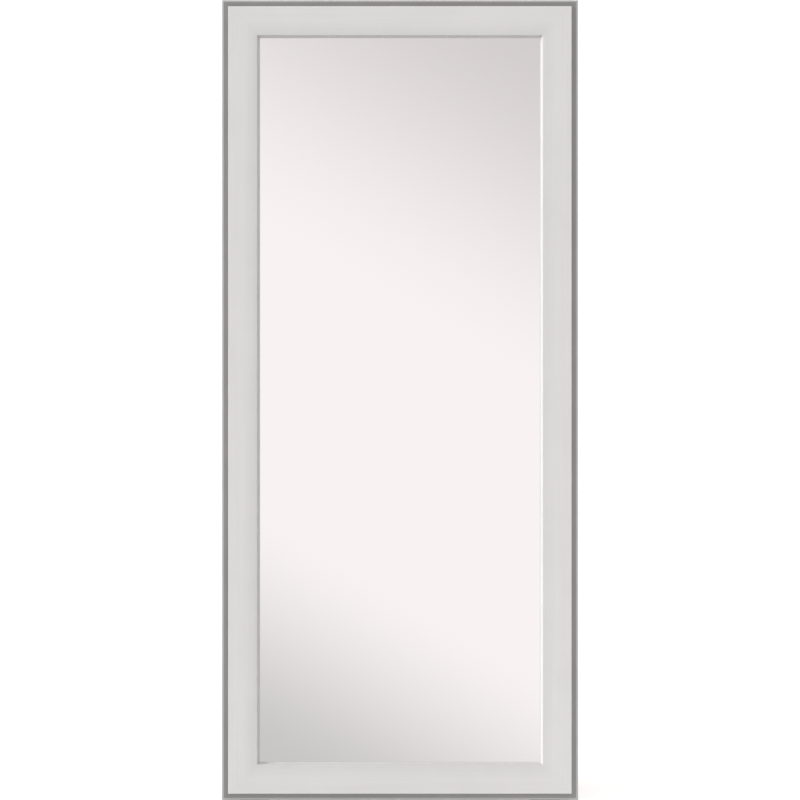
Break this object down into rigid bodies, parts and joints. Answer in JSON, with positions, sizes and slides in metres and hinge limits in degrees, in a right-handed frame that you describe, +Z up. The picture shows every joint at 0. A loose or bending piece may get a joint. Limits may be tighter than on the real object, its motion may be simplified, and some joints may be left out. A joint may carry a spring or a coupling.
{
  "type": "cheval floor mirror",
  "caption": "Full-length rectangular floor mirror in a mitred moulded frame, leaning back on a hinged easel leg that folding stays hold open, with swinging hanging rings behind.",
  "frame": {"origin": "on the floor, under the centre of the object's box, with the easel leg open", "axes": "+Z up; -Y is the side the mirror faces, so the panel's top leans towards +Y; +X is to the right for someone who stands in front of it and looks along +Y"},
  "size_m": [0.735, 0.3916, 1.6393],
  "materials": {
    "moulding": "satin",
    "mirror": "polished",
    "safety_film": "satin",
    "backing_board": "matte",
    "pine": "satin",
    "zinc_plated": "satin",
    "pressed_steel": "satin",
    "rubber": "matte"
  },
  "bodies": {
    "mirror_panel": {"backing_board": "backing_board", "corner_brace_bottom_left": "pressed_steel", "corner_brace_bottom_right": "pressed_steel", "corner_brace_top_left": "pressed_steel", "corner_brace_top_right": "pressed_steel", "floor_pad_left": "rubber", "floor_pad_right": "rubber", "hanger_strap_left": "zinc_plated", "hanger_strap_right": "zinc_plated", "hinge_leaf_fixed_left": "zinc_plated", "hinge_leaf_fixed_right": "zinc_plated", "hinge_pin_left": "zinc_plated", "hinge_pin_right": "zinc_plated", "hinge_rail": "pine", "hinge_rail_screw_left_lower": "zinc_plated", "hinge_rail_screw_left_upper": "zinc_plated", "hinge_rail_screw_right_lower": "zinc_plated", "hinge_rail_screw_right_upper": "zinc_plated", "mirror_glass": "mirror", "rail_bottom": "moulding", "rail_left": "moulding", "rail_right": "moulding", "rail_top": "moulding", "retaining_clip_bottom": "pressed_steel", "retaining_clip_left_high": "pressed_steel", "retaining_clip_left_low": "pressed_steel", "retaining_clip_left_middle": "pressed_steel", "retaining_clip_right_high": "pressed_steel", "retaining_clip_right_low": "pressed_steel", "retaining_clip_right_middle": "pressed_steel", "retaining_clip_top": "pressed_steel", "safety_film": "safety_film", "stay_bracket_left": "zinc_plated", "stay_bracket_right": "zinc_plated", "stay_pivot_rivet_left": "zinc_plated", "stay_pivot_rivet_right": "zinc_plated"},
    "easel_leg": {"hinge_leaf_moving_left": "zinc_plated", "hinge_leaf_moving_right": "zinc_plated", "leg_bolt_cross_left": "zinc_plated", "leg_bolt_cross_right": "zinc_plated", "leg_bolt_top_left": "zinc_plated", "leg_bolt_top_right": "zinc_plated", "leg_cross_rail": "pine", "leg_shoe_left": "rubber", "leg_shoe_right": "rubber", "leg_stile_left": "pine", "leg_stile_right": "pine", "leg_top_rail": "pine", "stay_anchor_plate_left": "zinc_plated", "stay_anchor_plate_right": "zinc_plated"},
    "stay_long_left": {"stay_long_link_left": "zinc_plated", "stay_elbow_rivet_left": "zinc_plated"},
    "stay_short_left": {"stay_short_link_left": "zinc_plated", "stay_anchor_rivet_left": "zinc_plated"},
    "ring_left": {"hanger_ring_left": "zinc_plated"},
    "stay_long_right": {"stay_long_link_right": "zinc_plated", "stay_elbow_rivet_right": "zinc_plated"},
    "stay_short_right": {"stay_short_link_right": "zinc_plated", "stay_anchor_rivet_right": "zinc_plated"},
    "ring_right": {"hanger_ring_right": "zinc_plated"}
  },
  "joints": [
    {"name": "easel_fold", "type": "hinge", "parent": "mirror_panel", "child": "easel_leg", "pos_m": [0, 0.02474, 1.23651], "axis": [-1, 0, 0], "range_deg": [0, 16]},
    {"name": "stay_swing_left", "type": "hinge", "parent": "mirror_panel", "child": "stay_long_left", "pos_m": [-0.284, -0.05346, 0.76278], "axis": [1, 0, 0], "range_deg": [0, 68.3]},
    {"name": "stay_elbow_left", "type": "hinge", "parent": "stay_long_left", "child": "stay_short_left", "pos_m": [-0.284, 0.02768, 0.78195], "axis": [1, 0, 0], "range_deg": [-180.2, 0]},
    {"name": "stay_swing_right", "type": "hinge", "parent": "mirror_panel", "child": "stay_long_right", "pos_m": [0.284, -0.05346, 0.76278], "axis": [1, 0, 0], "range_deg": [0, 68.3]},
    {"name": "stay_elbow_right", "type": "hinge", "parent": "stay_long_right", "child": "stay_short_right", "pos_m": [0.284, 0.02768, 0.78195], "axis": [1, 0, 0], "range_deg": [-180.2, 0]},
    {"name": "ring_swing_left", "type": "hinge", "parent": "mirror_panel", "child": "ring_left", "pos_m": [-0.334, 0.04178, 1.47849], "axis": [1, 0, 0], "range_deg": [-10, 175]},
    {"name": "ring_swing_right", "type": "hinge", "parent": "mirror_panel", "child": "ring_right", "pos_m": [0.334, 0.04178, 1.47849], "axis": [1, 0, 0], "range_deg": [-10, 175]}
  ],
  "couplings": [
    {"joint": "stay_swing_left", "follows": "easel_fold", "ratio": 4.2628},
    {"joint": "stay_elbow_left", "follows": "easel_fold", "ratio": -11.25},
    {"joint": "stay_swing_right", "follows": "easel_fold", "ratio": 4.2628},
    {"joint": "stay_elbow_right", "follows": "easel_fold", "ratio": -11.25}
  ]
}
